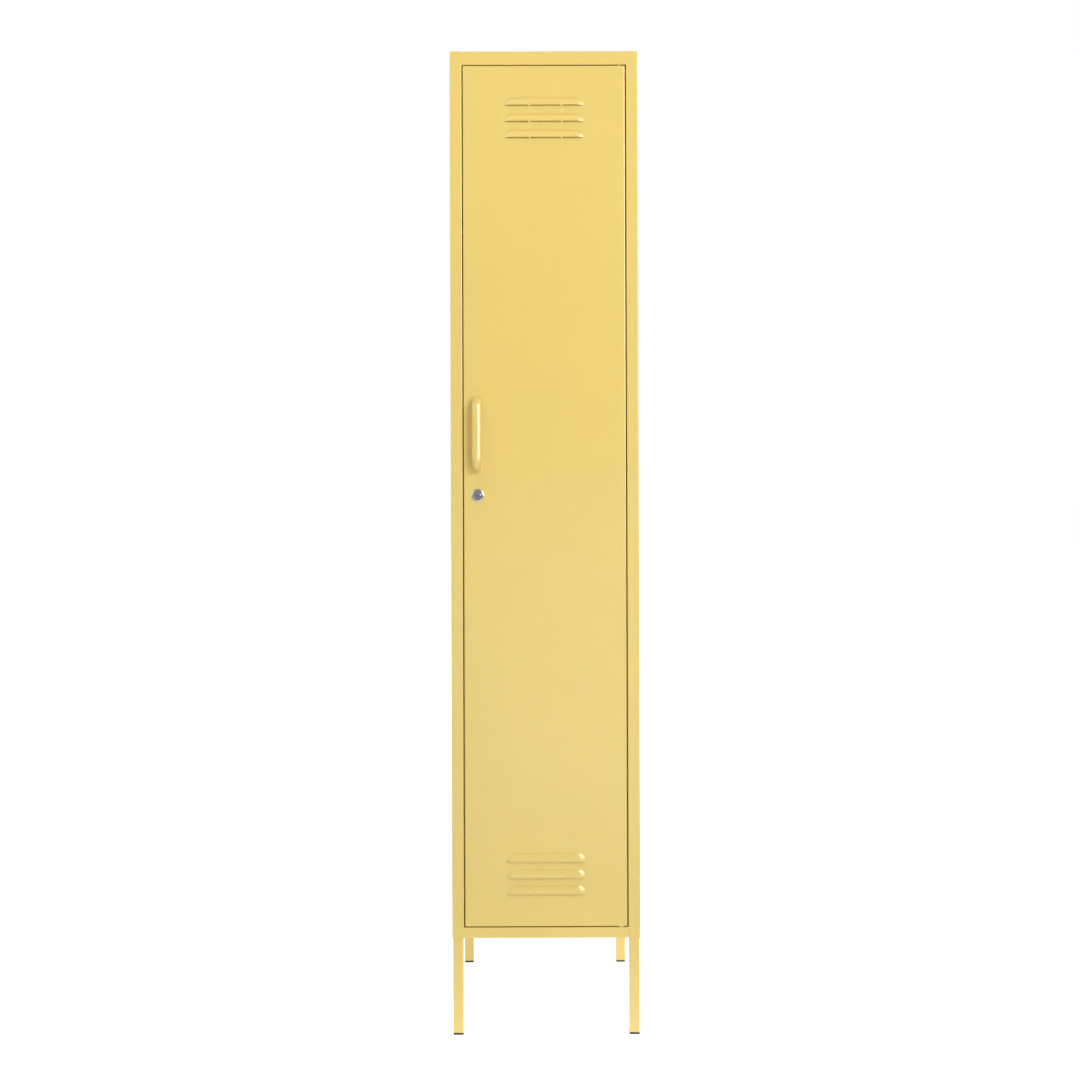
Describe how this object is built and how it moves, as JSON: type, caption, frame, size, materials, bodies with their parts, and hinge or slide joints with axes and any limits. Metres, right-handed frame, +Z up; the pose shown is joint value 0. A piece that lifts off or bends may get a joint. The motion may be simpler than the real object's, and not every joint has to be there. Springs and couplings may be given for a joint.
{
  "type": "metal locker",
  "caption": "Tall slim sheet-metal locker on square legs, with a flush louvred door on pivot hinges, bow pull, turning cam lock, shelves and a clothes rail.",
  "frame": {"origin": "on the floor, under the middle of the locker's box with the closed door's pull included", "axes": "+Z up, the door faces -Y, +X to the right of someone who faces the door"},
  "size_m": [0.35, 0.49, 1.83],
  "materials": {
    "yellow_paint": "smooth satin powder coat",
    "foot_plastic": "moulded, fine matt",
    "zinc_steel": "bright zinc plate",
    "white_nylon": "moulded nylon",
    "grey_rubber": "soft matt",
    "magnet_plastic": "bonded magnet strip, matt",
    "lock_chrome": "polished chrome plate"
  },
  "bodies": {
    "carcass": {"left_side_panel": "yellow_paint", "right_side_panel": "yellow_paint", "back_panel": "yellow_paint", "top_panel": "yellow_paint", "floor_panel": "yellow_paint", "front_left_leg": "yellow_paint", "front_right_leg": "yellow_paint", "rear_left_leg": "yellow_paint", "rear_right_leg": "yellow_paint", "front_left_foot": "foot_plastic", "front_right_foot": "foot_plastic", "rear_left_foot": "foot_plastic", "rear_right_foot": "foot_plastic", "leg_bolts": "zinc_steel", "lower_shelf": "yellow_paint", "middle_shelf": "yellow_paint", "upper_shelf": "yellow_paint", "lower_shelf_clips": "zinc_steel", "middle_shelf_clips": "zinc_steel", "upper_shelf_clips": "zinc_steel", "hanging_rail": "yellow_paint", "left_rail_bracket": "yellow_paint", "right_rail_bracket": "yellow_paint", "lower_hinge_pin": "yellow_paint", "upper_hinge_pin": "yellow_paint", "door_bumpers": "grey_rubber", "door_magnets": "magnet_plastic"},
    "door": {"door_panel": "yellow_paint", "door_stiffener": "yellow_paint", "lower_hinge_plate": "yellow_paint", "upper_hinge_plate": "yellow_paint", "lower_hinge_bush": "white_nylon", "upper_hinge_bush": "white_nylon", "pull_handle": "yellow_paint", "handle_screws": "zinc_steel", "lock_housing": "lock_chrome", "lock_nut": "zinc_steel"},
    "lock_cylinder": {"lock_plug": "lock_chrome", "lock_cam": "zinc_steel", "lock_cam_screw": "zinc_steel"}
  },
  "joints": [
    {"name": "door_swing", "type": "hinge", "parent": "carcass", "child": "door", "pos_m": [0.14, -0.209, 1], "axis": [0, 0, 1], "range_deg": [0, 110]},
    {"name": "lock_turn", "type": "hinge", "parent": "door", "child": "lock_cylinder", "pos_m": [-0.125, -0.215, 1.004], "axis": [0, 1, 0], "range_deg": [0, 90]}
  ]
}
